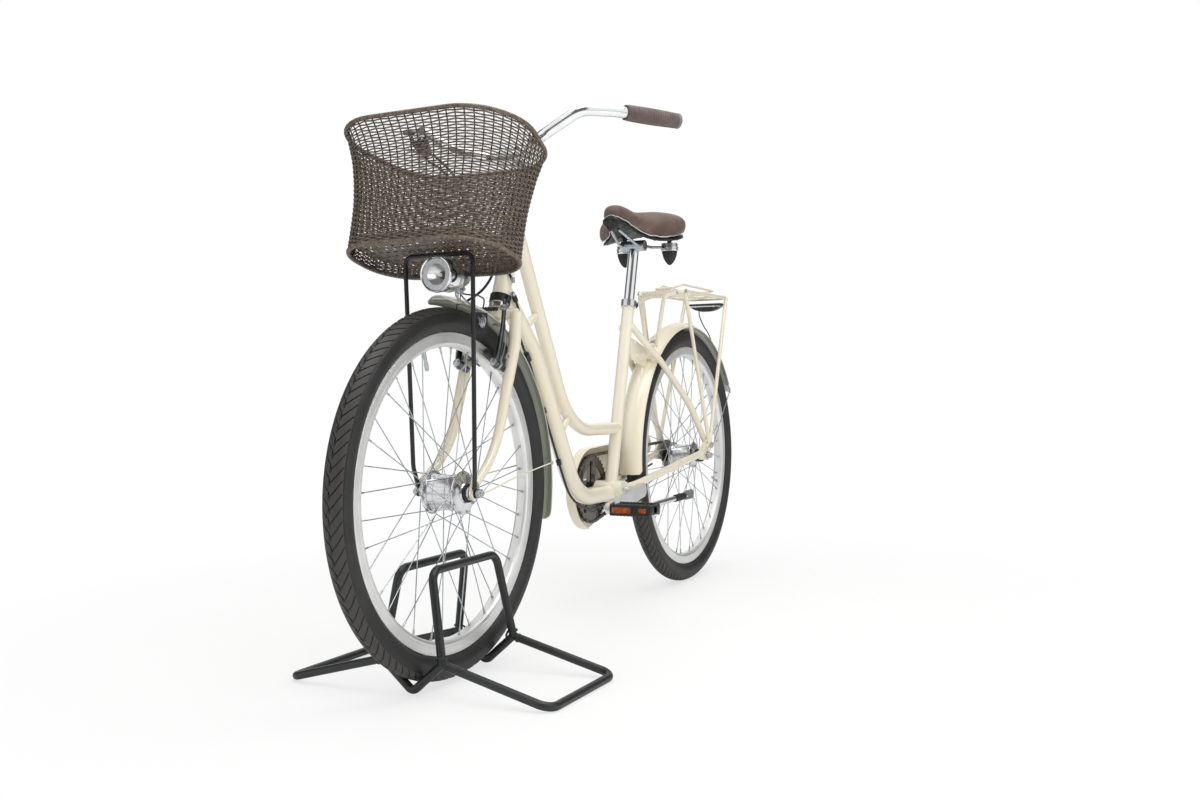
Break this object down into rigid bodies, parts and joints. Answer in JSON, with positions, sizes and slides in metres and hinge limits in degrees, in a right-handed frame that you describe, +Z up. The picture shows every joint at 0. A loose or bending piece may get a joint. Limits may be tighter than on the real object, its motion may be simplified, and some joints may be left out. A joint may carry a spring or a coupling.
{
  "type": "step-through city bicycle in a wheel stand",
  "caption": "Step-through city bicycle with woven front basket, chain guard, mudguards and rear rack, its front wheel held in a tubular floor stand.",
  "frame": {"origin": "on the floor in the bicycle's middle plane, half way between the two wheel axles, which is the middle of the bounding box's base", "axes": "+X forwards, +Y to the rider's left, +Z up"},
  "size_m": [1.779, 0.6228, 1.0539],
  "materials": {
    "cream_paint": "gloss ivory paint",
    "polished_aluminium": "polished",
    "chrome": "bright chrome",
    "steel": "zinc-plated steel",
    "dark_steel": "oiled dark steel",
    "black_steel": "satin black paint",
    "tyre_rubber": "matte rubber",
    "black_rubber": "matte rubber",
    "black_plastic": "matte",
    "grey_rubber": "matte rubber",
    "brown_grip": "stitched leather look",
    "brown_leather": "smooth leather look",
    "brown_rattan": "woven plastic rattan",
    "red_lens": "gloss"
  },
  "bodies": {
    "fork_and_stand": {"fork": "cream_paint", "stem": "polished_aluminium", "handlebar": "chrome", "grips": "brown_grip", "gear_shifter": "black_plastic", "brake_lever": "polished_aluminium", "basket": "brown_rattan", "basket_carrier": "black_steel", "headlamp": "chrome", "lamp_bracket": "steel", "lamp_wire": "black_plastic", "front_mudguard": "cream_paint", "front_brake": "black_steel", "brake_rubber": "black_rubber", "brake_cable": "black_plastic", "shifter_cable": "black_plastic", "front_axle": "steel", "wheel_stand": "black_steel"},
    "front_wheel": {"front_tyre": "tyre_rubber", "front_rim": "polished_aluminium", "front_hub": "polished_aluminium", "front_spokes": "steel"},
    "frame": {"head_tube": "cream_paint", "headset": "chrome", "seat_tube": "cream_paint", "lower_tube": "cream_paint", "upper_tube": "cream_paint", "chainstays": "cream_paint", "seat_stays": "cream_paint", "seat_clamp": "polished_aluminium", "seatpost": "chrome", "saddle": "brown_leather", "saddle_frame": "steel", "saddle_springs": "black_rubber", "chain": "dark_steel", "chain_guard": "cream_paint", "kickstand_bracket": "polished_aluminium", "rear_rack": "cream_paint", "rack_spring": "cream_paint", "tail_light": "red_lens", "tail_light_wire": "black_plastic", "rear_mudguard": "cream_paint", "guard_stays": "steel", "rear_axle": "steel", "gear_cable": "black_plastic", "cable_guides": "black_plastic"},
    "rear_wheel": {"rear_tyre": "tyre_rubber", "rear_rim": "polished_aluminium", "rear_hub": "polished_aluminium", "rear_spokes": "steel", "rear_sprocket": "dark_steel"},
    "crankset": {"cranks": "polished_aluminium", "chainring": "chrome"},
    "left_pedal": {"left_pedal": "black_plastic"},
    "right_pedal": {"right_pedal": "black_plastic"},
    "kickstand": {"kickstand_leg": "polished_aluminium", "kickstand_foot": "grey_rubber"}
  },
  "joints": [
    {"name": "steering", "type": "hinge", "parent": "fork_and_stand", "child": "frame", "pos_m": [0.33944, 0, 0.76498], "axis": [-0.3584, 0, 0.9336], "range_deg": [-50, 50]},
    {"name": "front_wheel_spin", "type": "hinge", "parent": "fork_and_stand", "child": "front_wheel", "pos_m": [0.56, 0, 0.3355], "axis": [0, 1, 0], "continuous": true},
    {"name": "rear_wheel_spin", "type": "hinge", "parent": "frame", "child": "rear_wheel", "pos_m": [-0.56, 0, 0.3295], "axis": [0, 1, 0], "continuous": true},
    {"name": "crank_spin", "type": "hinge", "parent": "frame", "child": "crankset", "pos_m": [-0.109, 0, 0.28], "axis": [0, 1, 0], "continuous": true},
    {"name": "left_pedal_spin", "type": "hinge", "parent": "crankset", "child": "left_pedal", "pos_m": [0.05935, 0, 0.25634], "axis": [0, 1, 0], "continuous": true},
    {"name": "right_pedal_spin", "type": "hinge", "parent": "crankset", "child": "right_pedal", "pos_m": [-0.27735, 0, 0.30366], "axis": [0, 1, 0], "continuous": true},
    {"name": "kickstand_fold", "type": "hinge", "parent": "frame", "child": "kickstand", "pos_m": [-0.176, 0.026, 0.246], "axis": [0, -1, 0], "range_deg": [0, 118]}
  ]
}
